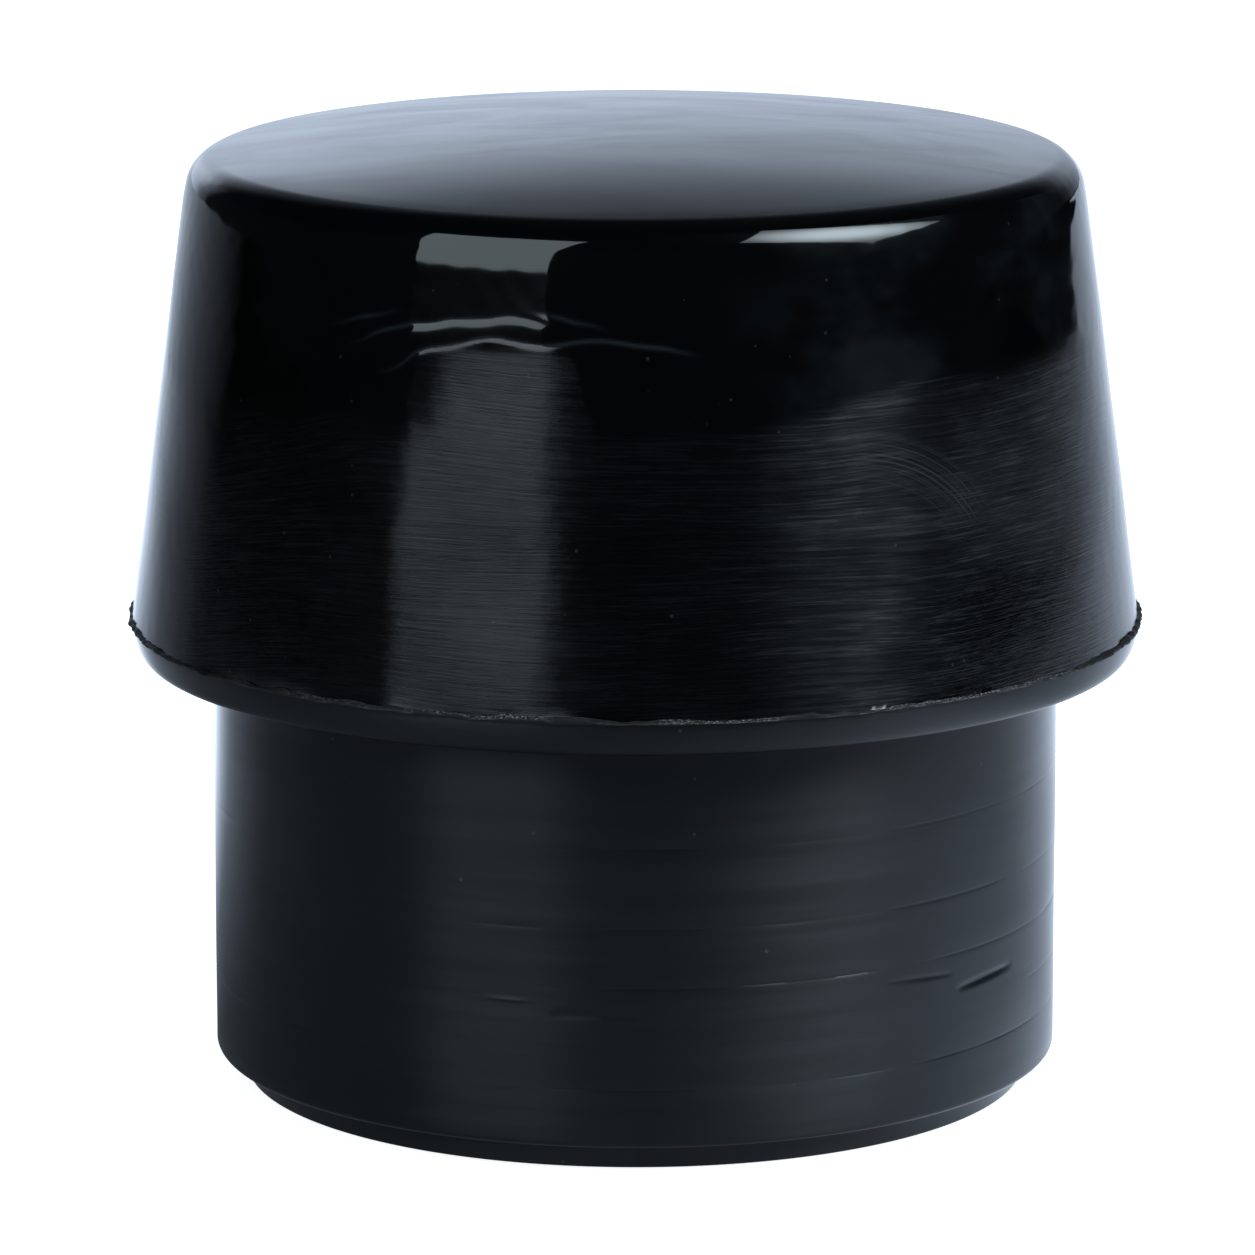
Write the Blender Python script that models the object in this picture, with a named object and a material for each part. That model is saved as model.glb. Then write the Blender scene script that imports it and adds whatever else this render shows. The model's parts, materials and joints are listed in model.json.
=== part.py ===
"""Replaceable soft-face insert for a split-housing mallet, standing on the end of its spigot.

Two moulded pieces share the vertical axis and are bonded for life:

- spigot_core, the hard lower piece: a spigot with a low lead-in pad on its end, the shoulder flange
  that seats on the mallet housing's rim, and a mushroom-shaped anchor above the flange;
- striking_head, the rubber moulded over the anchor: a crowned striking face, a tapering side wall and
  the thin lip of flash that is left where the mould closed on the flange.

Units are metres, +Z is up, and the origin is the centre of the end pad's flat face.
"""

import math

import bpy
from mathutils import Vector

# Overall sizes
HEAD_DIAMETER = 0.0600  # at the parting line, without the flash
WALL_HEIGHT = 0.0276  # parting line up to the corner where side wall and face would meet
SPIGOT_LENGTH = 0.0257  # end pad's flat face up to the shoulder's seating face

# Striking head
WALL_DRAFT = math.radians(7.5)  # the side wall's lean from the vertical
FACE_CROWN = 0.0021  # rise of the face's centre over that corner
FACE_EDGE_RADIUS = 0.0022
FLASH_WIDTH = 0.0004  # how far the lip of flash stands out of the side wall
FLASH_THICKNESS = 0.0005  # at its root
FLASH_TIP_THICKNESS = 0.0003

# Shoulder flange and spigot
SHOULDER_LEDGE = 0.0048  # spigot's side out to the head's side
SHOULDER_HEIGHT = 0.0020  # seating face up to the parting line
SHOULDER_ROUND = 0.0010  # radial reach of the shoulder's rounded lower edge
SPIGOT_EDGE_RADIUS = 0.0004
PAD_HEIGHT = 0.0016
PAD_STEP = 0.0013  # spigot's side in to the pad's root
PAD_TAPER = 0.0005  # how much the pad's radius narrows from its root to its end face

# Anchor inside the rubber
SIDE_COVER = 0.0110  # rubber between the anchor's lip and the head's side, at the parting line
FACE_COVER = 0.0157  # rubber between the anchor's top and the middle of the face
ANCHOR_UNDERCUT = 0.0030  # how far the lip overhangs the neck
ANCHOR_LIP_HEIGHT = 0.0060
ANCHOR_EDGE_RADIUS = 0.0015
BOND_CLEARANCE = 0.0003  # even gap kept between the two bonded solids

# Fineness of the round stretches
TURN_STEPS = 80
EDGE_STEPS = 5
FACE_STEPS = 6
SHARP_ANGLE = math.radians(40)
MERGE_DISTANCE = 1e-5

HEAD_RADIUS = HEAD_DIAMETER / 2
PARTING_HEIGHT = SPIGOT_LENGTH + SHOULDER_HEIGHT
FLANGE_TOP = PARTING_HEIGHT - BOND_CLEARANCE
CORNER_HEIGHT = PARTING_HEIGHT + WALL_HEIGHT
CORNER_RADIUS = HEAD_RADIUS - WALL_HEIGHT * math.tan(WALL_DRAFT)
SPIGOT_RADIUS = HEAD_RADIUS - SHOULDER_LEDGE
PAD_ROOT_RADIUS = SPIGOT_RADIUS - PAD_STEP
PAD_END_RADIUS = PAD_ROOT_RADIUS - PAD_TAPER
ANCHOR_RADIUS = HEAD_RADIUS - SIDE_COVER
ANCHOR_TOP = CORNER_HEIGHT + FACE_CROWN - FACE_COVER


def arc(centre, reach, rise, start, end, steps):
    """Points (radius, height) of an ellipse's arc from angle start to angle end, in degrees."""
    points = []
    for step in range(steps + 1):
        angle = math.radians(start + (end - start) * step / steps)
        offset = Vector((reach * math.cos(angle), rise * math.sin(angle)))
        points.append(Vector(centre) + offset)
    return points


def face_outline():
    """The crowned face from the axis out, its rounded edge, and the side wall down to the flash."""
    crown_radius = (CORNER_RADIUS**2 + FACE_CROWN**2) / (2 * FACE_CROWN)
    crown_centre = Vector((0, CORNER_HEIGHT + FACE_CROWN - crown_radius))
    outward = Vector((math.cos(WALL_DRAFT), math.sin(WALL_DRAFT)))
    down_wall = Vector((math.sin(WALL_DRAFT), -math.cos(WALL_DRAFT)))
    # The edge's centre lies one edge radius inside both the wall and the crown.
    inner_corner = Vector((CORNER_RADIUS, CORNER_HEIGHT)) - FACE_EDGE_RADIUS * outward
    from_crown = inner_corner - crown_centre
    along = from_crown.dot(down_wall)
    reach = crown_radius - FACE_EDGE_RADIUS
    travel = -along - math.sqrt(along**2 - from_crown.length_squared + reach**2)
    edge_centre = inner_corner + travel * down_wall
    to_edge = edge_centre - crown_centre
    turn = math.degrees(math.atan2(to_edge.y, to_edge.x))
    face = arc(crown_centre, crown_radius, crown_radius, 90, turn, FACE_STEPS)
    face[0].x = 0
    foot = math.degrees(WALL_DRAFT)
    edge = arc(edge_centre, FACE_EDGE_RADIUS, FACE_EDGE_RADIUS, turn, foot, EDGE_STEPS)
    return [*face, *edge[1:]]


def flash_outline():
    """The lip of flash round the foot of the side wall, down to the parting line."""
    wall_radius = HEAD_RADIUS - FLASH_THICKNESS * math.tan(WALL_DRAFT)
    tip_radius = HEAD_RADIUS + FLASH_WIDTH
    return [
        Vector((wall_radius, PARTING_HEIGHT + FLASH_THICKNESS)),
        Vector((tip_radius, PARTING_HEIGHT + FLASH_TIP_THICKNESS)),
        Vector((tip_radius, PARTING_HEIGHT)),
    ]


def anchor_outline(gap):
    """The anchor's outline from the top of its axis down to the flange, grown outwards by a gap."""
    lip_radius = ANCHOR_RADIUS + gap
    neck_radius = ANCHOR_RADIUS - ANCHOR_UNDERCUT + gap
    top = ANCHOR_TOP + gap
    lip_bottom = ANCHOR_TOP - ANCHOR_LIP_HEIGHT - gap
    edge = ANCHOR_EDGE_RADIUS + gap
    fillet = ANCHOR_EDGE_RADIUS - gap
    fillet_centre = (neck_radius + fillet, FLANGE_TOP + gap + fillet)
    return [
        Vector((0, top)),
        *arc((lip_radius - edge, top - edge), edge, edge, 90, 0, EDGE_STEPS),
        *arc((lip_radius - edge, lip_bottom + edge), edge, edge, 0, -90, EDGE_STEPS),
        Vector((neck_radius, lip_bottom)),
        *arc(fillet_centre, fillet, fillet, 180, 270, EDGE_STEPS),
    ]


def shoulder_outline():
    """The flange from the rim of its flat top, over its rounded lower edge, to its seating face."""
    centre = (HEAD_RADIUS - SHOULDER_ROUND, FLANGE_TOP)
    return arc(centre, SHOULDER_ROUND, FLANGE_TOP - SPIGOT_LENGTH, 0, -90, EDGE_STEPS)


def spigot_outline():
    """The spigot from the seating face down its side, over the end pad, to the end face's centre."""
    edge_centre = (SPIGOT_RADIUS - SPIGOT_EDGE_RADIUS, PAD_HEIGHT + SPIGOT_EDGE_RADIUS)
    return [
        Vector((SPIGOT_RADIUS, SPIGOT_LENGTH)),
        *arc(edge_centre, SPIGOT_EDGE_RADIUS, SPIGOT_EDGE_RADIUS, 0, -90, EDGE_STEPS),
        Vector((PAD_ROOT_RADIUS, PAD_HEIGHT)),
        Vector((PAD_END_RADIUS, 0)),
        Vector((0, 0)),
    ]


def moulded(name, colour, roughness):
    """A plain moulded material with its colour and gloss."""
    material = bpy.data.materials.new(name)
    material.use_nodes = True
    shader = material.node_tree.nodes["Principled BSDF"]
    shader.inputs["Base Color"].default_value = (*colour, 1)
    shader.inputs["Roughness"].default_value = roughness
    shader.inputs["Metallic"].default_value = 0
    return material


def turned(name, outline, material):
    """A solid of revolution about +Z, from an outline that runs down its outer side."""
    profile = bpy.data.meshes.new(f"{name}_profile")
    points = [(point.x, 0, point.y) for point in outline]
    edges = [(index, index + 1) for index in range(len(points) - 1)]
    profile.from_pydata(points, edges, [])
    piece = bpy.data.objects.new(name, profile)
    bpy.context.scene.collection.objects.link(piece)
    turn = piece.modifiers.new("turn", "SCREW")
    turn.axis = "Z"
    turn.angle = math.tau
    turn.steps = TURN_STEPS
    turn.render_steps = TURN_STEPS
    turn.use_merge_vertices = True
    turn.merge_threshold = MERGE_DISTANCE
    view = bpy.context.evaluated_depsgraph_get()
    body = bpy.data.meshes.new_from_object(piece.evaluated_get(view))
    body.name = name
    body.shade_smooth()
    body.set_sharp_from_angle(angle=SHARP_ANGLE)
    body.materials.clear()
    body.materials.append(material)
    piece.modifiers.clear()
    piece.data = body
    bpy.data.meshes.remove(profile)


def make_striking_head():
    """The rubber head: face, side wall and flash outside, and the anchor's pocket inside."""
    pocket = reversed(anchor_outline(BOND_CLEARANCE))
    outline = [*face_outline(), *flash_outline(), *pocket]
    turned("striking_head", outline, moulded("head_rubber", (0.010, 0.011, 0.012), 0.25))


def make_spigot_core():
    """The hard core: anchor, shoulder flange and spigot in one moulding."""
    outline = [*anchor_outline(0), *shoulder_outline(), *spigot_outline()]
    turned("spigot_core", outline, moulded("core_plastic", (0.016, 0.019, 0.022), 0.42))


def main():
    for old in list(bpy.data.objects):
        bpy.data.objects.remove(old)
    make_striking_head()
    make_spigot_core()


main()
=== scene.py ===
"""Looks of the mallet insert: moulded surfaces with flash, folds and scuffs, in a white studio.

Lengths are in metres. Azimuths are in degrees round +Z: 0 at the front (-Y), 90 at the right (+X).
"""

import json
import math

import bpy
import numpy as np
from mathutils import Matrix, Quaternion, Vector


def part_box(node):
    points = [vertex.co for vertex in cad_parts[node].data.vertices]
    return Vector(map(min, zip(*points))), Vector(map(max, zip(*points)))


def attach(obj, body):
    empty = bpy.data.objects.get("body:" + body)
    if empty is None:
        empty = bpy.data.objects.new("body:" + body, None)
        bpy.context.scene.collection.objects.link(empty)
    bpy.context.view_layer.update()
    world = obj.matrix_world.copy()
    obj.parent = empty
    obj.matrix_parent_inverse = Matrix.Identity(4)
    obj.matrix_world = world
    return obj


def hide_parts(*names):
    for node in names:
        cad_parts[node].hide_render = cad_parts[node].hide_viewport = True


MM = 0.001

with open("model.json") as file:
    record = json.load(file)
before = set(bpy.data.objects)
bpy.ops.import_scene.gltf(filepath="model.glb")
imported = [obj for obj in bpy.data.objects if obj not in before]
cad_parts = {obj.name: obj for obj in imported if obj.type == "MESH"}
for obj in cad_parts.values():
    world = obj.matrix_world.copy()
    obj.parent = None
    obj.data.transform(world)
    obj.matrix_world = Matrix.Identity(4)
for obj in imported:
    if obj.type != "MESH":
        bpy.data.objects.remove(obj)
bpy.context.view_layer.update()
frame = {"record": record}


def mount_height(name):
    """Height of one of the record's mounts."""
    mounts = {mount["name"]: mount for mount in frame["record"]["mounts"]}
    return mounts[name]["pos_m"][2]


# Sizes that the frame gives
HEAD_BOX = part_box("striking_head")
CORE_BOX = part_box("spigot_core")
FACE_TOP = HEAD_BOX[1].z
PARTING = HEAD_BOX[0].z
FLASH_REACH = HEAD_BOX[1].x
HEAD_RADIUS = CORE_BOX[1].x
ANCHOR_TOP = CORE_BOX[1].z
SEAT = mount_height("shoulder_seat")
GROUND = mount_height("spigot_end")

# Striking head
DRAFT = math.radians(7.5)
CROWN_RADIUS = 166.6 * MM
EDGE_RADIUS = 2.1 * MM
EASE_RADIUS = 15 * MM
EASE_ANGLE = math.radians(13)
FLASH_ROOT = 0.45 * MM
FLASH_SEAM = 0.02 * MM

# Shoulder, spigot and end pad
SPIGOT_RADIUS = HEAD_RADIUS - 4.8 * MM
SHOULDER_ROUND = 1.0 * MM
SPIGOT_EDGE = 0.4 * MM
SPIGOT_ROOT = 0.25 * MM
PAD_HEIGHT = 1.6 * MM
PAD_STEP = 1.3 * MM
PAD_TAPER = 0.5 * MM
PAD_EDGE = 0.15 * MM

# Anchor in its pocket
ANCHOR_RADIUS = HEAD_RADIUS - 11 * MM
ANCHOR_UNDERCUT = 3 * MM
ANCHOR_LIP = 6 * MM
ANCHOR_ROUND = 1.5 * MM
BOND_GAP = 0.3 * MM

# Steps round the axis: fine outside, coarse where nothing shows
FINE = 800
COARSE = 80

# Edges that bend by more than this are shaded sharp
SHARP_ANGLE = math.radians(38)

# Rings down the head's face, its edge and the ease into the wall, how many of the edge's rings take
# the face's material, and the steps of the search for where the wall bends into the ease
FACE_RINGS = 18
EDGE_RINGS = 12
EASE_RINGS = 8
SATIN_EDGE_RINGS = 7
BISECTIONS = 60

# The wall's folds lie in this band. Rings above it, in it and below it
FOLD_BAND = (45.9 * MM, 51.1 * MM)
WALL_RINGS = (7, 42, 32)

# Rings down the spigot: evenly, close to each groove, and (in mm) where most dents lie
SPIGOT_RINGS = 24
NEAR_GROOVE = np.array([-0.17, -0.07, 0, 0.07, 0.17]) * MM
DENT_BAND_MM = (8.3, 10.8)
DENT_STEP_MM = 0.1


# ---------------------------------------------------------------- profiles


def polar(angle):
    """Unit vector (radius, height) at an angle above the horizontal."""
    return np.array([math.cos(angle), math.sin(angle)])


def arc(centre, reach, rise, start, end, steps):
    """Points (radius, height) along an ellipse's arc, angles in radians."""
    turn = np.linspace(start, end, steps + 1)
    return np.column_stack([centre[0] + reach * np.cos(turn), centre[1] + rise * np.sin(turn)])


def face_profile():
    """Crowned face, rounded edge and the ease into the side wall."""
    crown_centre = np.array([0, FACE_TOP - CROWN_RADIUS])
    low, high = PARTING, FACE_TOP
    for _ in range(BISECTIONS):
        bend = (low + high) / 2
        wall = np.array([wall_radius(bend), bend])
        ease_centre = wall - EASE_RADIUS * polar(DRAFT)
        edge_centre = ease_centre + (EASE_RADIUS - EDGE_RADIUS) * polar(EASE_ANGLE)
        if np.linalg.norm(edge_centre - crown_centre) < CROWN_RADIUS - EDGE_RADIUS:
            low = bend
        else:
            high = bend
    across = edge_centre - crown_centre
    meeting = math.atan2(across[1], across[0])
    face = arc(crown_centre, CROWN_RADIUS, CROWN_RADIUS, math.pi / 2, meeting, FACE_RINGS)
    edge = arc(edge_centre, EDGE_RADIUS, EDGE_RADIUS, meeting, EASE_ANGLE, EDGE_RINGS)
    ease = arc(ease_centre, EASE_RADIUS, EASE_RADIUS, EASE_ANGLE, DRAFT, EASE_RINGS)
    return face[1:], edge[1:], ease[1:]


def wall_radius(height):
    """Radius of the tapering side wall."""
    return HEAD_RADIUS - (height - PARTING) * math.tan(DRAFT)


def wall_profile(top):
    """The side wall from its top to the root of the flash, with close rings where the folds are."""
    levels = (top, FOLD_BAND[1], FOLD_BAND[0], PARTING + FLASH_ROOT)
    parts = zip(levels, levels[1:], WALL_RINGS)
    heights = np.concatenate([np.linspace(high, low, rings)[1:] for high, low, rings in parts])
    return np.column_stack([wall_radius(heights), heights])


def anchor_profile(gap, foot):
    """The anchor from near the axis to the flange, grown by the gap and ending at the foot."""
    lip = ANCHOR_RADIUS + gap
    neck = lip - ANCHOR_UNDERCUT
    top = ANCHOR_TOP + gap
    under = ANCHOR_TOP - ANCHOR_LIP - gap
    edge = ANCHOR_ROUND + gap
    fillet = ANCHOR_ROUND - gap
    return np.vstack([
        arc((lip - edge, top - edge), edge, edge, math.pi / 2, 0, 6),
        arc((lip - edge, under + edge), edge, edge, 0, -math.pi / 2, 6),
        [[neck, under]],
        arc((neck + fillet, foot + fillet), fillet, fillet, math.pi, math.pi * 1.5, 6),
    ])


def shoulder_profile():
    """The flange's rounded side and its flat seat, in to the spigot."""
    centre = (HEAD_RADIUS - SHOULDER_ROUND, PARTING - FLASH_SEAM)
    rounded = arc(centre, SHOULDER_ROUND, centre[1] - SEAT, 0, -math.pi / 2, 14)
    root = (SPIGOT_RADIUS + SPIGOT_ROOT, SEAT - SPIGOT_ROOT)
    return np.vstack([rounded, arc(root, SPIGOT_ROOT, SPIGOT_ROOT, math.pi / 2, math.pi, 5)])


def spigot_profile():
    """The spigot's side with close rings at its grooves, then its lower edge, step and end pad."""
    top = SEAT - SPIGOT_ROOT
    low = PAD_HEIGHT + SPIGOT_EDGE
    heights = [np.linspace(top, low, SPIGOT_RINGS)[1:]]
    heights += [groove["height"] + NEAR_GROOVE for groove in GROOVES]
    heights += [np.arange(*DENT_BAND_MM, DENT_STEP_MM) * MM]
    heights = np.unique(np.concatenate(heights).round(6))[::-1]
    heights = heights[(heights < top) & (heights > low)]
    side = np.column_stack([np.full(len(heights), SPIGOT_RADIUS), heights])
    edge = arc((SPIGOT_RADIUS - SPIGOT_EDGE, low), SPIGOT_EDGE, SPIGOT_EDGE, 0, -math.pi / 2, 6)
    root = SPIGOT_RADIUS - PAD_STEP
    tip = root - PAD_TAPER
    pad = arc((tip - PAD_EDGE, GROUND + PAD_EDGE), PAD_EDGE, PAD_EDGE, 0, -math.pi / 2, 4)
    return side, np.vstack([edge, [[root, PAD_HEIGHT]], pad])


# ---------------------------------------------------------------- surface relief

# Height of the moulding's slow wobble and fine ripple on the head, and of the wobble on the core
HEAD_WOBBLE = 0.011 * MM
HEAD_RIPPLE = 0.0016 * MM
CORE_WOBBLE = 0.006 * MM

# How far a fold's points are smoothed, as a share of their spacing, and in how many steps
FOLD_SMOOTHING = 0.6
FOLD_STEPS = 60

# Flow folds left by the moulding: points (azimuth, height in mm), relief, and the width of the
# steep upper flank and of the slow lower one
FOLDS = [
    {
        "line": [(-36, 47.9), (-31, 48.9), (-27, 49.5), (-20, 49.85), (-14, 50.2), (-10, 49.7)],
        "relief": 0.075 * MM,
        "flank": 0.42 * MM,
        "tail": 1.1 * MM,
    },
    {
        "line": [
            (-32, 46.5), (-24, 48.2), (-17, 49.0), (-11, 48.5), (-5, 49.0), (2, 48.6), (9, 48.0),
        ],
        "relief": 0.035 * MM,
        "flank": 0.16 * MM,
        "tail": 0.8 * MM,
    },
    {
        "line": [(-39, 48.8), (-34, 49.6), (-28, 50.15)],
        "relief": 0.02 * MM,
        "flank": 0.14 * MM,
        "tail": 0.6 * MM,
    },
    {
        "line": [(-13, 50.7), (-10, 50.2), (-6, 49.85), (-2, 49.4)],
        "relief": 0.03 * MM,
        "flank": 0.18 * MM,
        "tail": 0.5 * MM,
    },
    {
        "line": [(148, 47.4), (158, 48.6), (170, 48.9), (179, 48.1)],
        "relief": 0.04 * MM,
        "flank": 0.2 * MM,
        "tail": 0.9 * MM,
    },
]

# The pale painted highlight along a fold's crest: how far above the fold's line it lies, and its
# half-width
CREST_HIGHLIGHT_RISE = 0.08 * MM
CREST_HIGHLIGHT_HALF = 0.12 * MM

# A turned line's half-width, and the degrees over which its ends fade
GROOVE_HALF = 0.07 * MM
GROOVE_FADE = 10

# Faint turned lines round the spigot: height, the stretch of azimuth they show on, and depth
GROOVES = [
    {"height": 19.3 * MM, "span": (-12, 96), "depth": 0.022 * MM},
    {"height": 14.6 * MM, "span": (-25, 120), "depth": 0.03 * MM},
    {"height": 11.1 * MM, "span": (-15, 105), "depth": 0.03 * MM},
    {"height": 7.8 * MM, "span": (60, 190), "depth": 0.02 * MM},
    {"height": 5.1 * MM, "span": (-14, 84), "depth": 0.03 * MM},
    {"height": 17.0 * MM, "span": (130, 300), "depth": 0.026 * MM},
    {"height": 6.4 * MM, "span": (200, 330), "depth": 0.026 * MM},
]

# Dents in the spigot: the ends as (azimuth, height in mm), half-width and depth
DENTS = [
    {"ends": ((35, 10.3), (47, 9.95)), "half": 0.13 * MM, "depth": 0.09 * MM},
    {"ends": ((48, 8.95), (61, 9.2)), "half": 0.2 * MM, "depth": 0.16 * MM},
    {"ends": ((-11, 9.55), (1, 9.5)), "half": 0.22 * MM, "depth": 0.1 * MM},
    {"ends": ((-20, 10.25), (-14, 10.2)), "half": 0.1 * MM, "depth": -0.04 * MM},
    {"ends": ((203, 9.4), (214, 9.7)), "half": 0.16 * MM, "depth": 0.1 * MM},
]


def azimuths(steps):
    """Azimuth of each step, counted like the vertices: from +X, anticlockwise from above."""
    turn = np.arange(steps) * 360 / steps
    return (turn + 90 + 180) % 360 - 180


def waves(seed, turn, height, count, most_turns, shortest):
    """A smooth random field of about unit size that closes on itself round the axis."""
    rng = np.random.default_rng(seed)
    field = np.zeros(np.broadcast(turn, height).shape)
    for _ in range(count):
        turns = rng.integers(0, most_turns + 1)
        rise = rng.uniform(-1, 1) * math.tau / shortest
        field += np.cos(turns * np.radians(turn) + rise * height + rng.uniform(0, math.tau))
    return field / math.sqrt(count / 2)


def ragged(seed, steps, octaves):
    """Random values round a circle, rough at each of the octaves' numbers per turn."""
    rng = np.random.default_rng(seed)
    at = np.arange(steps) / steps
    values = np.zeros(steps)
    for count in octaves:
        knots = rng.normal(size=count)
        values += np.interp(at * count, np.arange(count + 1), np.append(knots, knots[0]))
    return values / math.sqrt(len(octaves))


def signed_turn(turn, middle):
    """Azimuth from a middle azimuth, between -180 and 180."""
    return (turn - middle + 180) % 360 - 180


def fade(value, low, high, width):
    """One between low and high, falling smoothly to zero over the width outside them."""
    below = np.clip((value - (low - width)) / width, 0, 1)
    above = np.clip(((high + width) - value) / width, 0, 1)
    inside = np.minimum(below, above)
    return inside * inside * (3 - 2 * inside)


def under_fold(fold, turn, height):
    """Distance below a fold's smoothed line, and the azimuths of the line's points."""
    along, crest = np.array(fold["line"], float).T
    smooth = np.linspace(along[0], along[-1], FOLD_STEPS)
    width = FOLD_SMOOTHING * np.diff(along).mean()
    spread = np.exp(-(((smooth[:, None] - along) / width) ** 2))
    crests = (spread @ crest) / spread.sum(1)
    return np.interp(turn, smooth, crests) * MM - height, along


def fold_relief(turn, height):
    """Height of the flow folds over the plain wall."""
    relief = np.zeros(np.broadcast(turn, height).shape)
    for fold in FOLDS:
        below, along = under_fold(fold, turn, height)
        below = np.clip(below, 0, None)
        reach = fade(turn, along[0] + 4, along[-1] - 4, 5)
        rise = 1 - np.exp(-below / fold["flank"])
        relief += fold["relief"] * reach * rise * np.exp(-below / fold["tail"])
    return relief


def crest_highlight_lines(turn, height):
    """Where the folds' crests get thin pale lines of painted highlight, 0 to 1."""
    crest_highlight = np.zeros(np.broadcast(turn, height).shape)
    for fold in FOLDS:
        below, along = under_fold(fold, turn, height)
        reach = 0.6 * fade(turn, along[0] + 6, along[-1] - 7, 7)
        crest_highlight = np.maximum(crest_highlight, reach * np.exp(-(((below + CREST_HIGHLIGHT_RISE) / CREST_HIGHLIGHT_HALF) ** 2)))
    return crest_highlight


def dent_relief(turn, height):
    """Depth of the spigot's grooves and dents."""
    relief = np.zeros(np.broadcast(turn, height).shape)
    for index, groove in enumerate(GROOVES):
        middle = sum(groove["span"]) / 2
        half = (groove["span"][1] - groove["span"][0]) / 2 - GROOVE_FADE
        reach = fade(signed_turn(turn, middle), -half, half, GROOVE_FADE)
        patches = waves(40 + index, turn, 0.0, count=12, most_turns=30, shortest=1)
        patchy = np.clip(0.75 + 0.45 * patches, 0.1, 1.4)
        section = np.exp(-(((height - groove["height"]) / GROOVE_HALF) ** 2))
        relief -= groove["depth"] * reach * patchy * section
    for dent in DENTS:
        (start, low), (end, high) = dent["ends"]
        along = signed_turn(turn, start) / (end - start)
        line = (low + (high - low) * along) * MM
        reach = np.clip(4 * along * (1 - along), 0, 1) ** 0.6
        relief -= dent["depth"] * reach * np.exp(-(((height - line) / dent["half"]) ** 2))
    return relief


# ---------------------------------------------------------------- meshes


def lift(profile, relief):
    """Radii and heights of a profile's rings, moved along its outward normal by the relief."""
    along = np.gradient(profile, axis=0)
    along /= np.linalg.norm(along, axis=1)[:, None]
    radii = profile[:, :1] - along[:, 1:] * relief
    heights = profile[:, 1:] + along[:, :1] * relief
    return radii, heights


class Turned:
    """A closed surface built ring by ring down its outer side, each face with a material index."""

    def __init__(self):
        self.vertices = []
        self.faces = []
        self.slots = []
        self.last = None
        # Painted highlight along the folds' crests, by vertex, stored as the crest attribute
        self.crest = {}

    def pole(self, height):
        """One vertex on the axis, first or last."""
        self.vertices.append((0.0, 0.0, height))
        self.join([len(self.vertices) - 1])

    def ring(self, radii, heights, steps, slot=0):
        """A ring of vertices, joined to the last one."""
        turn = np.arange(steps) * math.tau / steps
        radii = np.broadcast_to(radii, steps)
        heights = np.broadcast_to(heights, steps)
        first = len(self.vertices)
        self.vertices += list(zip(radii * np.cos(turn), radii * np.sin(turn), heights))
        self.join(list(range(first, first + steps)), slot)

    def rings(self, radii, heights, steps, slot=0):
        """Several rings with the same number of steps."""
        for ring_radii, ring_heights in zip(radii, heights):
            self.ring(ring_radii, ring_heights, steps, slot)

    def join(self, ring, slot=0):
        """Faces between the last ring and this one, which may have another number of steps."""
        last, self.last = self.last, ring
        if last is None:
            return
        count = min(n for n in (len(last), len(ring)) if n > 1)
        for step in range(count):
            upper = stretch(last, step, count)
            lower = stretch(ring, step, count)
            self.faces.append([*reversed(upper), *lower])
            self.slots.append(slot)

    def build(self, name, materials):
        """The finished object, in the scene."""
        mesh = bpy.data.meshes.new(name)
        mesh.from_pydata([tuple(map(float, v)) for v in self.vertices], [], self.faces)
        for material in materials:
            mesh.materials.append(material)
        # The crest attribute holds the painted highlight along the folds' crests
        crest = np.zeros(len(mesh.vertices))
        crest[list(self.crest)] = list(self.crest.values())
        mesh.attributes.new("crest", "FLOAT", "POINT").data.foreach_set("value", crest)
        mesh.polygons.foreach_set("material_index", self.slots)
        mesh.shade_smooth()
        mesh.set_sharp_from_angle(angle=SHARP_ANGLE)
        piece = bpy.data.objects.new(name, mesh)
        bpy.context.scene.collection.objects.link(piece)
        return piece


def stretch(ring, step, count):
    """The vertices of a ring from one step to the next, both ends included."""
    if len(ring) == 1:
        return ring
    each = len(ring) // count
    return [ring[(step * each + k) % len(ring)] for k in range(each + 1)]


def make_head(materials):
    """The striking head: face, wall and ragged flash outside, smooth pocket inside."""
    face, edge, ease = face_profile()
    wall = wall_profile(ease[-1][1])
    turn = azimuths(FINE)
    outer = np.vstack([face, edge, ease, wall])
    height = outer[:, 1:]
    on_side = np.clip((FACE_TOP - 1.5 * MM - height) / (2 * MM), 0, 1)
    wobble = waves(11, turn, height, count=40, most_turns=16, shortest=9 * MM)
    ripple = waves(12, turn, height, count=60, most_turns=120, shortest=1.6 * MM)
    moulded = (HEAD_WOBBLE * wobble + HEAD_RIPPLE * ripple) * on_side
    relief = moulded + fold_relief(turn, height)
    radii, heights = lift(outer, relief)

    head = Turned()
    head.pole(FACE_TOP)
    satin = len(face) + SATIN_EDGE_RINGS
    head.rings(radii[:satin], heights[:satin], FINE, slot=1)
    first = len(head.vertices)
    head.rings(radii[satin:], heights[satin:], FINE, slot=0)
    # Painted highlight along the folds' crests, on the wall's vertices
    head.crest = dict(enumerate(crest_highlight_lines(turn, height[satin:]).ravel(), first))
    add_flash(head)
    pocket = anchor_profile(BOND_GAP, PARTING)[::-1]
    head.rings(pocket[:, 0], pocket[:, 1], COARSE)
    head.pole(ANCHOR_TOP + BOND_GAP)
    return head.build("moulded_head", materials)


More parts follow.
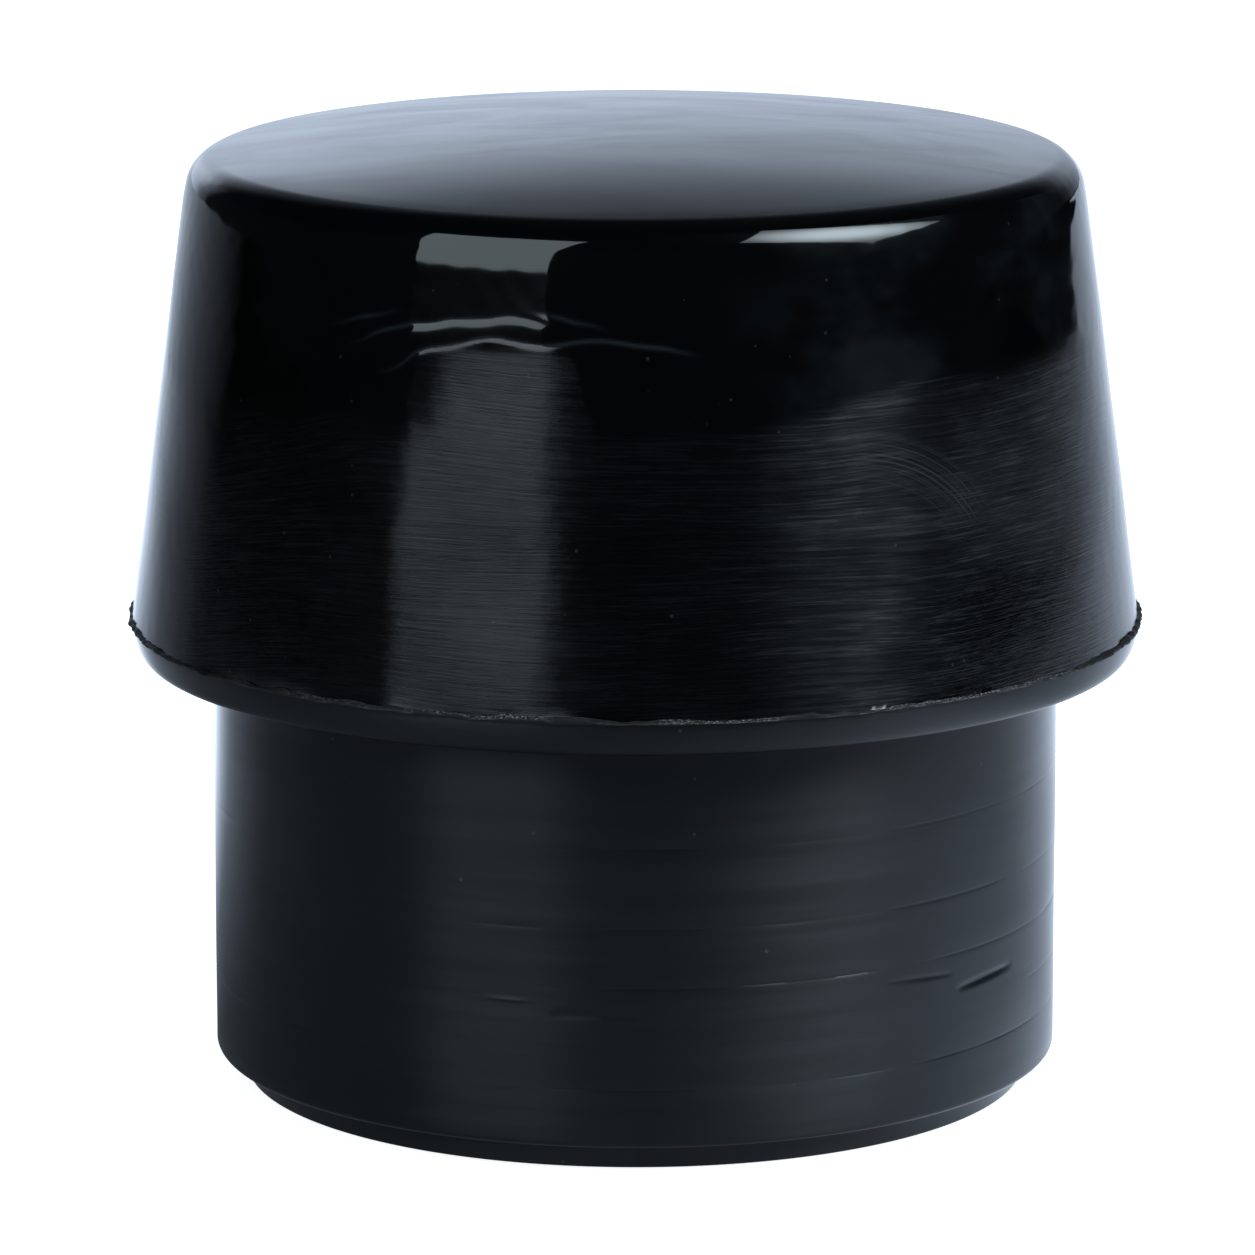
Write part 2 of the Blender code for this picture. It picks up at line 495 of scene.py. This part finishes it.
def add_flash(head):
    """The thin lip torn along the parting line, with its reach and thickness varying round it."""
    coarse = ragged(21, FINE, [14, 40])
    fine = ragged(22, FINE, [120, 260, 400])
    most = FLASH_REACH - HEAD_RADIUS
    turn = azimuths(FINE)
    lump = np.exp(-((signed_turn(turn, 4.5) / 2.2) ** 2))
    reach = most * (0.68 + 0.16 * coarse + 0.18 * fine + 0.2 * lump)
    reach = np.clip(reach, 0.06 * MM, most)
    thick = FLASH_ROOT * (0.46 + 0.09 * coarse + 0.15 * ragged(23, FINE, [90, 300]) + 0.3 * lump)
    thick = np.clip(thick, 0.1 * MM, 0.8 * FLASH_ROOT)
    shake = 0.03 * MM * ragged(24, FINE, [200, 400])

    root = PARTING + thick + 0.04 * MM
    foot = wall_radius(PARTING + FLASH_ROOT)
    head.ring(wall_radius(root), root, FINE)
    head.ring(foot + 0.55 * reach, PARTING + thick + shake, FINE, slot=2)
    head.ring(HEAD_RADIUS + 0.93 * reach, PARTING + 0.78 * thick + shake, FINE, slot=2)
    head.ring(HEAD_RADIUS + reach, PARTING + 0.4 * thick, FINE, slot=2)
    head.ring(HEAD_RADIUS + 0.8 * reach, PARTING, FINE, slot=2)
    head.ring(HEAD_RADIUS - 0.6 * MM, PARTING, FINE, slot=2)


def make_core(materials):
    """The hard core: anchor inside, then shoulder, spigot and end pad."""
    shoulder = shoulder_profile()
    side, end = spigot_profile()
    turn = azimuths(FINE)
    outer = np.vstack([shoulder, side, end])
    height = outer[:, 1:]
    on_side = fade(height, PAD_HEIGHT + 1 * MM, SEAT - 1 * MM, 1 * MM)
    wobble = CORE_WOBBLE * waves(31, turn, height, count=40, most_turns=12, shortest=10 * MM)
    radii, heights = lift(outer, wobble * on_side + dent_relief(turn, height) * on_side)

    core = Turned()
    core.pole(ANCHOR_TOP)
    anchor = anchor_profile(0, PARTING - FLASH_SEAM)
    core.rings(anchor[:, 0], anchor[:, 1], COARSE)
    core.rings(radii, heights, FINE)
    core.pole(GROUND)
    return core.build("moulded_core", materials)


# ---------------------------------------------------------------- node graphs


class Graph:
    """Adds and joins the nodes of one material or world."""

    def __init__(self, tree):
        self.tree = tree

    def add(self, kind, inputs=None, **settings):
        """A node with its settings, and its inputs by name or number, each a value or a socket."""
        node = self.tree.nodes.new(kind)
        for key, value in settings.items():
            setattr(node, key, value)
        for key, value in (inputs or {}).items():
            self.feed(node.inputs[key], value)
        return node

    def feed(self, socket, value):
        """Links a socket, or sets its value."""
        if isinstance(value, bpy.types.NodeSocket):
            self.tree.links.new(value, socket)
        else:
            socket.default_value = value

    def math(self, operation, *values):
        """A Math node's result."""
        return self.add("ShaderNodeMath", dict(enumerate(values)), operation=operation).outputs[0]

    def chain(self, operation, values):
        """A Math node's result over several values, from the first on."""
        result, *others = values
        for value in others:
            result = self.math(operation, result, value)
        return result

    def plus(self, *values):
        """The values' sum."""
        return self.chain("ADD", values)

    def times(self, *values):
        """The values' product."""
        return self.chain("MULTIPLY", values)

    def minus(self, first, second):
        """One value less another."""
        return self.math("SUBTRACT", first, second)

    def most(self, *values):
        """The largest of the values."""
        return self.chain("MAXIMUM", values)

    def away(self, value, middle):
        """A value's distance from a middle."""
        return self.math("ABSOLUTE", self.minus(value, middle))

    def scaled(self, vector, x, y, z):
        """A vector times (x, y, z)."""
        node = self.add("ShaderNodeVectorMath", {0: vector, 1: (x, y, z)}, operation="MULTIPLY")
        return node.outputs[0]

    def ramp(self, value, low, high, start=0.0, end=1.0):
        """A smooth step of the value from low to high, going from start to end."""
        inputs = {"Value": value, "From Min": low, "From Max": high, "To Min": start, "To Max": end}
        node = self.add("ShaderNodeMapRange", inputs, interpolation_type="SMOOTHSTEP", clamp=True)
        return node.outputs["Result"]

    def noise(self, vector, detail=2.0, roughness=0.5, distortion=0.0):
        """Noise of about 0 to 1, one lump per unit of the vector."""
        inputs = {"Vector": vector, "Scale": 1.0, "Detail": detail, "Roughness": roughness}
        inputs["Distortion"] = distortion
        return self.add("ShaderNodeTexNoise", inputs).outputs["Fac"]

    def blend(self, factor, first, second):
        """A mix of two values."""
        node = self.add("ShaderNodeMix", {0: factor, 2: first, 3: second}, data_type="FLOAT")
        return node.outputs[0]

    def tint(self, factor, first, second):
        """A mix of two colours."""
        node = self.add("ShaderNodeMix", {0: factor, 6: first, 7: second}, data_type="RGBA")
        return node.outputs[2]

    def switch(self, factor, first, second):
        """A mix of two shaders."""
        return self.add("ShaderNodeMixShader", {0: factor, 1: first, 2: second}).outputs[0]

    def bump(self, shader, relief, strength, distance):
        """Gives a shader the relief as fine bumps."""
        inputs = {"Height": relief, "Strength": strength, "Distance": distance}
        self.feed(shader.inputs["Normal"], self.add("ShaderNodeBump", inputs).outputs[0])


# ---------------------------------------------------------------- materials

# Base colours, each with its paler one: for wear, bands and dust, and on the wall and flash also
# for painted highlights
RUBBER = (0.0003, 0.0005, 0.0006, 1)
# Pale for wear, and for the painted highlights along the folds' crests
RUBBER_WORN_AND_HIGHLIGHT = (0.021, 0.026, 0.028, 1)
FACE = (0.0006, 0.0008, 0.001, 1)
FACE_DUST = (0.03, 0.035, 0.04, 1)
FLASH = (0.0035, 0.0032, 0.003, 1)
# Pale of the painted highlight on the flash's lip
FLASH_HIGHLIGHT = (0.15, 0.15, 0.148, 1)
CORE = (0.0012, 0.0032, 0.004, 1)
CORE_PALE = (0.0026, 0.0056, 0.007, 1)
CORE_DUST = (0.03, 0.036, 0.04, 1)

# The haze of scratches on the wall: its upper edge at the front, how much higher that lies in a
# bulge and at the right, the bulge's azimuth, and how far the edge drifts and how soft it is, each
# outside the bulge and in it
HAZE_TOP = 43.0 * MM
HAZE_BULGE_RISE = 4.9 * MM
HAZE_RIGHT_RISE = 2.4 * MM
HAZE_BULGE_TURN = -16.5
HAZE_DRIFT = (3 * MM, 1.4 * MM)
HAZE_EDGE = (1.7 * MM, 0.8 * MM)

# Stretches of the wall by azimuth: where the haze starts higher, a patch that it spares, where its
# scratches lean, three where it is calmer, and where its pale scratch lines show in full
HIGHER = (23, 150)
SPARED = (-31, -23)
LEANING = (-140, -52)
CALM_LOW_RIGHT = (31, 150)
CALM_LEFT = (-150, -37)
CALM_FRONT = (-5, 14)
PALE_LINES_SPAN = (15, 150)

# The curved scratches: azimuth and height of their middle, inner and outer radius, and spacing
SWIPE_TURN = 25
SWIPE_HEIGHT = 34 * MM
SWIPE_RADII = (6.5 * MM, 10.0 * MM)
SWIPE_PER_METRE = 7000


def surface(name):
    """A new material with its graph and shader, and its surface's places, height and azimuth."""
    material = bpy.data.materials.new(name)
    material.use_nodes = True
    graph = Graph(material.node_tree)
    shader = material.node_tree.nodes["Principled BSDF"]
    place = graph.add("ShaderNodeTexCoord").outputs["Object"]
    split = graph.add("ShaderNodeSeparateXYZ", {0: place})
    turn = graph.math("ARCTAN2", split.outputs["X"], graph.times(split.outputs["Y"], -1.0))
    return material, graph, shader, place, split.outputs["Z"], turn


def hazed_along_height(graph, shader, amount):
    """Stretches the gloss, so that scratches round the axis smear light up and down."""
    shader.inputs["Anisotropic"].default_value = amount
    shader.inputs["Anisotropic Rotation"].default_value = 0.25
    around = graph.add("ShaderNodeTangent", direction_type="RADIAL", axis="Z")
    graph.feed(shader.inputs["Tangent"], around.outputs[0])


def glossier_at_grazing(graph, rough, least):
    """A roughness that falls to a share of itself where the surface is seen at a low angle."""
    facing = graph.add("ShaderNodeLayerWeight", {"Blend": 0.5}).outputs["Facing"]
    return graph.times(rough, graph.ramp(facing, 0.5, 0.95, start=1.0, end=least))


def swipe(graph, turn, height):
    """A bundle of curved scratches that bends down at its right end, 0 to 1."""
    across = graph.times(graph.minus(turn, math.radians(SWIPE_TURN)), 0.8 * HEAD_RADIUS)
    along = graph.minus(height, SWIPE_HEIGHT)
    squares = graph.plus(graph.times(across, across), graph.times(along, along))
    radius = graph.math("SQRT", squares)
    spacing = graph.times(radius, SWIPE_PER_METRE)
    lines = graph.noise(graph.add("ShaderNodeCombineXYZ", {0: spacing}).outputs[0])
    inner, outer = SWIPE_RADII
    return graph.times(
        graph.ramp(lines, 0.45, 0.7),
        graph.ramp(radius, inner, inner + 0.5 * MM),
        graph.ramp(radius, outer, outer - 1 * MM),
        graph.ramp(graph.math("DIVIDE", across, radius), -0.2, 0.2),
        graph.ramp(graph.math("DIVIDE", along, radius), 0.35, 0.6),
    )


def sector(graph, turn, start, end, soft):
    """One between two azimuths in degrees, and soft degrees of fading on both sides of each."""
    rising = graph.ramp(turn, math.radians(start - soft), math.radians(start + soft))
    falling = graph.ramp(turn, math.radians(end + soft), math.radians(end - soft))
    return graph.times(rising, falling)


def specks(graph, place, per_metre, share, size):
    """Small round specks: 1 at their middles, on a share of the cells."""
    cells = graph.add("ShaderNodeTexVoronoi", {"Vector": place, "Scale": per_metre})
    chosen = graph.add("ShaderNodeSeparateColor", {0: cells.outputs["Color"]}).outputs[0]
    near = graph.ramp(cells.outputs["Distance"], size, size * 0.5)
    return graph.times(near, graph.math("LESS_THAN", chosen, share))


def hazed_part(graph, place, height, turn):
    """The part of the wall that scratches haze: one below a wavy edge, but for a spared patch."""
    bulge = graph.ramp(graph.away(turn, math.radians(HAZE_BULGE_TURN)), 0.22, 0.15)
    drift = graph.noise(graph.scaled(place, 90, 90, 160), detail=3)
    top = graph.plus(
        graph.times(bulge, HAZE_BULGE_RISE),
        HAZE_TOP,
        graph.times(drift, graph.blend(bulge, *HAZE_DRIFT)),
        graph.times(sector(graph, turn, *HIGHER, soft=13), HAZE_RIGHT_RISE),
    )
    hazed = graph.ramp(graph.minus(top, height), -0.3 * MM, graph.blend(bulge, *HAZE_EDGE))
    spared = graph.times(
        sector(graph, turn, *SPARED, soft=3),
        graph.ramp(height, 42.2 * MM, 44.8 * MM, end=0.8),
    )
    return graph.times(hazed, graph.minus(1.0, spared))


def along_scratches(graph, place, turn):
    """Places moved up and down a little, so that noise on them bends as the scratches do."""
    bend = graph.noise(graph.scaled(place, 45, 45, 70), detail=1)
    lean = graph.times(sector(graph, turn, *LEANING, soft=22), 3 * MM)
    bend = graph.plus(graph.times(bend, 2.4 * MM), lean)
    bent = graph.add("ShaderNodeCombineXYZ", {"Z": bend}).outputs[0]
    return graph.add("ShaderNodeVectorMath", {0: place, 1: bent}).outputs[0]


def wall_gloss(graph, height, turn, hazed, fine, broad, patch):
    """The wall's roughness: glossy above, and a streaky haze that is calmer in places."""
    shine = graph.ramp(patch, 0.35, 0.75, 0.04, 0.065)
    haze = graph.plus(graph.times(broad, 0.6), graph.times(patch, 0.6))
    low_right = graph.ramp(height, 31.5 * MM, 38 * MM, start=0.4)
    calm = graph.plus(
        sector(graph, turn, *CALM_LEFT, soft=5),
        sector(graph, turn, *CALM_FRONT, soft=4),
    )
    haze = graph.times(
        graph.ramp(haze, 0.4, 0.85, 0.13, 0.22),
        graph.blend(sector(graph, turn, *CALM_LOW_RIGHT, soft=7), 1.0, low_right),
        graph.blend(calm, 1.0, 0.65),
        graph.ramp(fine, 0.3, 0.7, 0.85, 1.12),
    )
    return graph.blend(hazed, shine, haze)


def wall_wear_and_highlights(graph, place, height, turn, hazed, fine, patch):
    """How pale the wall is: by scratches, dust, a bloom at the right and painted highlights along
    the folds' crests.
    """
    lines = graph.times(graph.ramp(fine, 0.5, 0.64), graph.ramp(patch, 0.36, 0.6))
    lines = graph.most(graph.times(lines, 0.7), swipe(graph, turn, height))
    # Pale scratch lines in full at the right, and at a fifth of that elsewhere
    paler_lines_share = graph.blend(sector(graph, turn, *PALE_LINES_SPAN, soft=7), 0.2, 1.0)
    dust = graph.times(specks(graph, place, per_metre=1500, share=0.04, size=0.2), 0.6)
    bloom = graph.times(
        graph.ramp(patch, 0.42, 0.7, end=0.3),
        graph.ramp(graph.away(turn, math.radians(42)), 0.6, 0.3),
        graph.blend(hazed, 1.0, 0.3),
    )
    # The crest attribute paints highlights along the folds' crests
    crest = graph.add("ShaderNodeAttribute", attribute_name="crest").outputs["Fac"]
    return graph.most(graph.times(lines, hazed, paler_lines_share, 0.95), dust, bloom, crest)


def wall_rubber():
    """The side wall: glossy above, hazed below by fine scratches that run round the axis."""
    material, graph, shader, place, height, turn = surface("wall_rubber")
    hazed = hazed_part(graph, place, height, turn)
    bent = along_scratches(graph, place, turn)
    fine = graph.noise(graph.scaled(bent, 200, 200, 8500), detail=3, roughness=0.8)
    broad = graph.noise(graph.scaled(bent, 110, 110, 4200), detail=4, roughness=0.7)
    patch = graph.noise(graph.scaled(place, 130, 130, 200), detail=3, roughness=0.5)

    rough = wall_gloss(graph, height, turn, hazed, fine, broad, patch)
    graph.feed(shader.inputs["Roughness"], glossier_at_grazing(graph, rough, least=0.5))
    hazed_along_height(graph, shader, 1.0)
    shader.inputs["Coat Weight"].default_value = 0.025
    shader.inputs["Coat Roughness"].default_value = 0.38

    wear_and_highlights = wall_wear_and_highlights(graph, place, height, turn, hazed, fine, patch)
    graph.feed(shader.inputs["Base Color"], graph.tint(wear_and_highlights, RUBBER, RUBBER_WORN_AND_HIGHLIGHT))
    relief = graph.times(fine, graph.blend(hazed, 0.02, 1.0))
    graph.bump(shader, relief, strength=0.4, distance=0.022 * MM)
    return material


def face_rubber():
    """The striking face: satin with cloudy patches and specks, turning glossy over its edge."""
    material, graph, shader, place, height, _ = surface("face_rubber")
    cloud = graph.noise(graph.scaled(place, 60, 150, 60), detail=4, roughness=0.6, distortion=0.6)
    satin = graph.ramp(cloud, 0.3, 0.75, 0.17, 0.25)
    inside = graph.ramp(height, FACE_TOP - 2.5 * MM, FACE_TOP - 2.0 * MM)
    graph.feed(shader.inputs["Roughness"], graph.blend(inside, 0.05, satin))
    dust = specks(graph, place, per_metre=700, share=0.08, size=0.14)
    graph.feed(shader.inputs["Base Color"], graph.tint(dust, FACE, FACE_DUST))
    grain = graph.noise(graph.scaled(place, 2500, 2500, 2500), detail=2)
    graph.bump(shader, graph.times(grain, inside), strength=0.2, distance=0.006 * MM)
    return material


def flash_rubber():
    """The torn flash: rough brownish black, with a speckled painted highlight on its upper lip's
    upward faces at the front.
    """
    material, graph, shader, place, _, turn = surface("flash_rubber")
    speckle = graph.noise(graph.scaled(place, 8500, 8500, 9500), detail=2, roughness=0.6)
    stretches = graph.noise(graph.scaled(place, 160, 160, 100), detail=2)
    front = graph.ramp(graph.away(turn, math.radians(18)), 0.85, 0.5, start=0.3)
    normal = graph.add("ShaderNodeNewGeometry").outputs["Normal"]
    tilt = graph.add("ShaderNodeSeparateXYZ", {0: normal}).outputs["Z"]
    # Pale specks on the lip's upward faces at the front: a painted highlight
    lip_highlight = graph.times(
        graph.ramp(speckle, 0.48, 0.66),
        graph.ramp(stretches, 0.36, 0.6),
        front,
        graph.ramp(tilt, -0.1, 0.35),
    )
    graph.feed(shader.inputs["Base Color"], graph.tint(lip_highlight, FLASH, FLASH_HIGHLIGHT))
    graph.feed(shader.inputs["Roughness"], graph.ramp(speckle, 0.3, 0.7, 0.45, 0.75))
    graph.bump(shader, speckle, strength=0.7, distance=0.04 * MM)
    return material


def core_satin():
    """The shoulder and spigot: satin, with soft bands and fine lines that run round the axis."""
    material, graph, shader, place, _, _ = surface("core_satin")
    band = graph.noise(graph.scaled(place, 35, 35, 700), detail=3, roughness=0.6)
    fine = graph.noise(graph.scaled(place, 140, 140, 5200), detail=2)
    cloud = graph.noise(graph.scaled(place, 110, 110, 160), detail=3)
    rough = graph.ramp(graph.plus(band, graph.times(cloud, 0.5)), 0.45, 1.1, 0.3, 0.4)
    graph.feed(shader.inputs["Roughness"], glossier_at_grazing(graph, rough, least=0.4))
    hazed_along_height(graph, shader, 0.85)
    dust = specks(graph, place, per_metre=1200, share=0.03, size=0.18)
    shade = graph.tint(graph.ramp(band, 0.3, 0.75), CORE, CORE_PALE)
    graph.feed(shader.inputs["Base Color"], graph.tint(dust, shade, CORE_DUST))
    relief = graph.plus(graph.times(fine, 0.5), band)
    graph.bump(shader, relief, strength=0.3, distance=0.02 * MM)
    return material


# ---------------------------------------------------------------- studio

# Camera: focal length and sensor width in mm, place, and degrees that it looks down
CAMERA_LENS = 226.9
CAMERA_SENSOR = 36
CAMERA_PLACE = (-0.45 * MM, -462 * MM, 127 * MM)
CAMERA_DIP = 12.24

# Softboxes: how far off they stand, and the distances from the middle between which they dim, as
# shares of the side
LAMP_DISTANCE = 0.9
LAMP_DIMS = (0.08, 0.7)
SOFTBOX_TINT = (0.87, 1.03, 1.13)

# Brightness that reflections see on the backdrop: by azimuth in degrees from the back, positive to
# the right, and by the sine of the elevation. Other rays see the fill
BACKDROP_TINT = (0.83, 0.97, 1.19, 1)
BACKDROP_GAIN = 1.6
STUDIO_DARK = 0.006
FILL = 0.25
BACKDROP_ACROSS = [
    (-40, 0.006), (-31, 0.3), (-25, 0.8), (-17, 0.98), (-5, 0.94), (0, 0.8),
    (6, 0.62), (16, 0.42), (25, 0.24), (33, 0.06), (40, 0.006),
]
BACKDROP_UPWARD = [
    (0.0, 0.78), (0.1, 0.84), (0.18, 1.0), (0.25, 0.94), (0.32, 0.55),
    (0.38, 0.15), (0.45, 0.07), (0.55, 0.055), (0.66, 0.05), (0.76, 0),
]

# The floor, and the table that reflections see in its place: brightness by azimuth as above, close
# by and far off, and what multiplies the near one behind the object, by distance in metres
FLOOR_HALF = 4.0
FLOOR_DROP = 0.05 * MM
TABLE_GAIN = 1.6
TABLE_NEAR = [
    (-120, 0.15), (-75, 0.11), (-48, 0.22), (-28, 0.7), (-13, 1.0), (10, 0.74), (40, 0.63),
    (75, 0.48), (108, 0.4), (124, 0.3), (142, 0.19), (160, 0.14), (179, 0.13),
]
TABLE_FAR = [
    (-66, 0.0), (-54, 0.1), (-38, 0.22), (-24, 0.4), (-8, 0.6), (10, 0.72),
    (24, 0.58), (40, 0.4), (60, 0.3), (125, 0.3), (150, 0.08), (178, 0.0),
]
TABLE_LEFT_BEHIND = [
    (0.03, 0.45), (0.045, 0.55), (0.057, 0.7), (0.069, 0.94), (0.082, 1.25),
    (0.1, 1.69), (0.115, 1.8), (0.14, 1.2), (0.17, 1.0),
]
TABLE_RIGHT_BEHIND = [
    (0.03, 0.95), (0.057, 0.87), (0.082, 0.87), (0.1, 1.12), (0.115, 1.25), (0.14, 1.05),
    (0.17, 1.0),
]

# What multiplies it before the object, and the distances where that ends: the shadow at the left,
# and the glow close by
TABLE_SHADOW = 0.3
TABLE_SHADOW_ENDS = (0.03, 0.12)
TABLE_GLOW = 1.7
TABLE_GLOW_ENDS = (0.045, 0.085)

# Where the near brightness goes over to the far one, half the width over which left goes over to
# right and front to back, and the table's right edge, which slides out towards the back
TABLE_FAR_FROM = (0.24, 0.34)
TABLE_SEAM = 0.02
TABLE_EDGE = 0.385
TABLE_EDGE_SLIDE = 0.6
TABLE_SLIDE_FROM = (0.6, 1.4)


def toward(azimuth, elevation):
    """Unit vector from the object towards a place in the studio."""
    turn, rise = math.radians(azimuth), math.radians(elevation)
    flat = math.cos(rise)
    return Vector((math.sin(turn) * flat, -math.cos(turn) * flat, math.sin(rise)))


def softbox(name, azimuth, elevation, width, height, radiance, edge=1.0, roll=0.0):
    """An area light that spans width by height degrees, and dims to a share at its edge."""
    way = toward(azimuth, elevation)
    light = bpy.data.lights.new(name, "AREA")
    light.shape = "RECTANGLE"
    light.size = 2 * LAMP_DISTANCE * math.tan(math.radians(width / 2))
    light.size_y = 2 * LAMP_DISTANCE * math.tan(math.radians(height / 2))
    light.energy = radiance * math.pi * light.size * light.size_y
    light.color = SOFTBOX_TINT
    light.use_nodes = True
    graph = Graph(light.node_tree)
    over = graph.add("ShaderNodeNewGeometry").outputs["Parametric"]
    middle = {0: over, 1: (0.5, 0.5, 0)}
    off = graph.add("ShaderNodeVectorMath", middle, operation="DISTANCE").outputs["Value"]
    strength = graph.ramp(off, *LAMP_DIMS, start=1.0, end=edge)
    graph.feed(light.node_tree.nodes["Emission"].inputs["Strength"], strength)
    lamp = bpy.data.objects.new(name, light)
    lamp.location = Vector((0, 0, (FACE_TOP + PARTING) / 2)) + LAMP_DISTANCE * way
    lamp.rotation_mode = "QUATERNION"
    lamp.rotation_quaternion = way.to_track_quat("Z", "Y") @ Quaternion((0, 0, 1), roll)
    lamp.visible_camera = False
    bpy.context.scene.collection.objects.link(lamp)


def stops(graph, value, points):
    """A colour ramp's grey through (place, brightness) points."""
    node = graph.add("ShaderNodeValToRGB", {0: value})
    ramp = node.color_ramp
    while len(ramp.elements) < len(points):
        ramp.elements.new(0.5)
    for element, (where, grey) in zip(ramp.elements, points):
        element.position = where
        element.color = (grey, grey, grey, 1)
    return node.outputs[0]


def compass(graph, x, y):
    """Azimuth as 0 to 1: a half at the back (+Y), less to the left and more to the right."""
    return graph.math("ADD", graph.math("DIVIDE", graph.math("ARCTAN2", x, y), math.tau), 0.5)


def round_studio(graph, heading, points):
    """Brightness by azimuth, through (degrees from the back, brightness) points."""
    return stops(graph, heading, [(where / 360 + 0.5, grey) for where, grey in points])


def make_world():
    """White for the camera, grey as fill, and in reflections a lit backdrop in a dark studio."""
    world = bpy.data.worlds.new("studio")
    world.use_nodes = True
    bpy.context.scene.world = world
    world.node_tree.nodes.clear()
    graph = Graph(world.node_tree)
    way = graph.add("ShaderNodeTexCoord").outputs["Generated"]
    split = graph.add("ShaderNodeSeparateXYZ", {0: way})
    x, y, z = (split.outputs[axis] for axis in "XYZ")
    across = round_studio(graph, compass(graph, x, y), BACKDROP_ACROSS)
    grey = graph.plus(graph.times(across, stops(graph, z, BACKDROP_UPWARD)), STUDIO_DARK)
    strength = graph.times(grey, BACKDROP_GAIN)
    seen, fill, mirrored = (
        graph.add("ShaderNodeBackground", {"Color": colour, "Strength": level}).outputs[0]
        for colour, level in (
            ((1, 1, 1, 1), 1.0),
            (BACKDROP_TINT, FILL),
            (BACKDROP_TINT, strength),
        )
    )
    path = graph.add("ShaderNodeLightPath")
    lit = graph.switch(path.outputs["Is Glossy Ray"], fill, mirrored)
    whole = graph.switch(path.outputs["Is Camera Ray"], lit, seen)
    graph.add("ShaderNodeOutputWorld", {0: whole})


def behind_object(graph, reach, x):
    """What multiplies the near table's brightness behind the object, at the left and the right."""
    left, right = (
        graph.times(stops(graph, reach, [(where, share / 2) for where, share in points]), 2.0)
        for points in (TABLE_LEFT_BEHIND, TABLE_RIGHT_BEHIND)
    )
    return graph.blend(graph.ramp(x, TABLE_SEAM, -TABLE_SEAM), right, left)


def before_object(graph, reach, x):
    """What multiplies it in front of the object: a glow close by, and a shadow at the left."""
    shadow = graph.ramp(reach, *TABLE_SHADOW_ENDS, start=TABLE_SHADOW)
    shadow = graph.blend(graph.ramp(x, TABLE_SEAM, -TABLE_SEAM), 1.0, shadow)
    return graph.times(shadow, graph.ramp(reach, *TABLE_GLOW_ENDS, start=TABLE_GLOW))


def table_level(graph):
    """Brightness of the table that reflections see."""
    place = graph.add("ShaderNodeTexCoord").outputs["Object"]
    split = graph.add("ShaderNodeSeparateXYZ", {0: place})
    x, y = split.outputs["X"], split.outputs["Y"]
    reach = graph.math("SQRT", graph.plus(graph.times(x, x), graph.times(y, y)))
    heading = compass(graph, x, y)
    around = graph.blend(
        graph.ramp(y, -TABLE_SEAM, TABLE_SEAM),
        before_object(graph, reach, x),
        behind_object(graph, reach, x),
    )
    near = graph.times(round_studio(graph, heading, TABLE_NEAR), around)
    far = round_studio(graph, heading, TABLE_FAR)
    level = graph.blend(graph.ramp(reach, *TABLE_FAR_FROM), near, far)
    edge = graph.ramp(y, *TABLE_SLIDE_FROM, TABLE_EDGE, TABLE_EDGE + TABLE_EDGE_SLIDE)
    return graph.times(level, graph.ramp(graph.minus(x, edge), 0.01, -0.01), TABLE_GAIN)


def floor_white():
    """Plain white with a faint shadow, a table to reflections, and clear from below."""
    material = bpy.data.materials.new("white_floor")
    material.use_nodes = True
    graph = Graph(material.node_tree)
    shader = material.node_tree.nodes["Principled BSDF"]
    shader.inputs["Base Color"].default_value = (0.9, 0.9, 0.9, 1)
    shader.inputs["Roughness"].default_value = 1.0
    shader.inputs["Specular IOR Level"].default_value = 0.0
    shader.inputs["Emission Color"].default_value = (1, 1, 1, 1)
    shader.inputs["Emission Strength"].default_value = 0.82

    glow = {"Color": BACKDROP_TINT, "Strength": table_level(graph)}
    table = graph.add("ShaderNodeEmission", glow).outputs[0]
    glossy = graph.add("ShaderNodeLightPath").outputs["Is Glossy Ray"]
    above = graph.switch(glossy, shader.outputs[0], table)
    underneath = graph.add("ShaderNodeNewGeometry").outputs["Backfacing"]
    clear = graph.add("ShaderNodeBsdfTransparent").outputs[0]
    output = material.node_tree.nodes["Material Output"]
    graph.feed(output.inputs["Surface"], graph.switch(underneath, above, clear))
    return material


def make_floor():
    """The floor, just under the object."""
    height = GROUND - FLOOR_DROP
    sides = ((-1, -1), (1, -1), (1, 1), (-1, 1))
    corners = [(x * FLOOR_HALF, y * FLOOR_HALF, height) for x, y in sides]
    mesh = bpy.data.meshes.new("floor")
    mesh.from_pydata(corners, [], [(0, 1, 2, 3)])
    mesh.materials.append(floor_white())
    floor = bpy.data.objects.new("floor", mesh)
    floor.visible_diffuse = False
    bpy.context.scene.collection.objects.link(floor)


def make_camera():
    """A long lens a little above the object, looking down at its middle."""
    data = bpy.data.cameras.new("camera")
    data.lens = CAMERA_LENS
    data.sensor_width = CAMERA_SENSOR
    camera = bpy.data.objects.new("camera", data)
    camera.location = CAMERA_PLACE
    camera.rotation_euler = (math.radians(90 - CAMERA_DIP), 0, 0)
    bpy.context.scene.collection.objects.link(camera)
    bpy.context.scene.camera = camera


def main():
    """Both pieces, on the one body, in the studio."""
    head = make_head([wall_rubber(), face_rubber(), flash_rubber()])
    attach(head, "root")
    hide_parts("striking_head")

    core = make_core([core_satin()])
    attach(core, "root")
    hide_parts("spigot_core")

    make_floor()
    make_world()
    softbox("softbox_left", azimuth=-38.5, elevation=27, width=36.5, height=40, radiance=2.3)
    softbox(
        "softbox_right", azimuth=62, elevation=41, width=39, height=39, radiance=11.5,
        edge=0.15, roll=math.radians(45),
    )
    make_camera()
    bpy.context.scene.view_settings.view_transform = "Standard"


main()
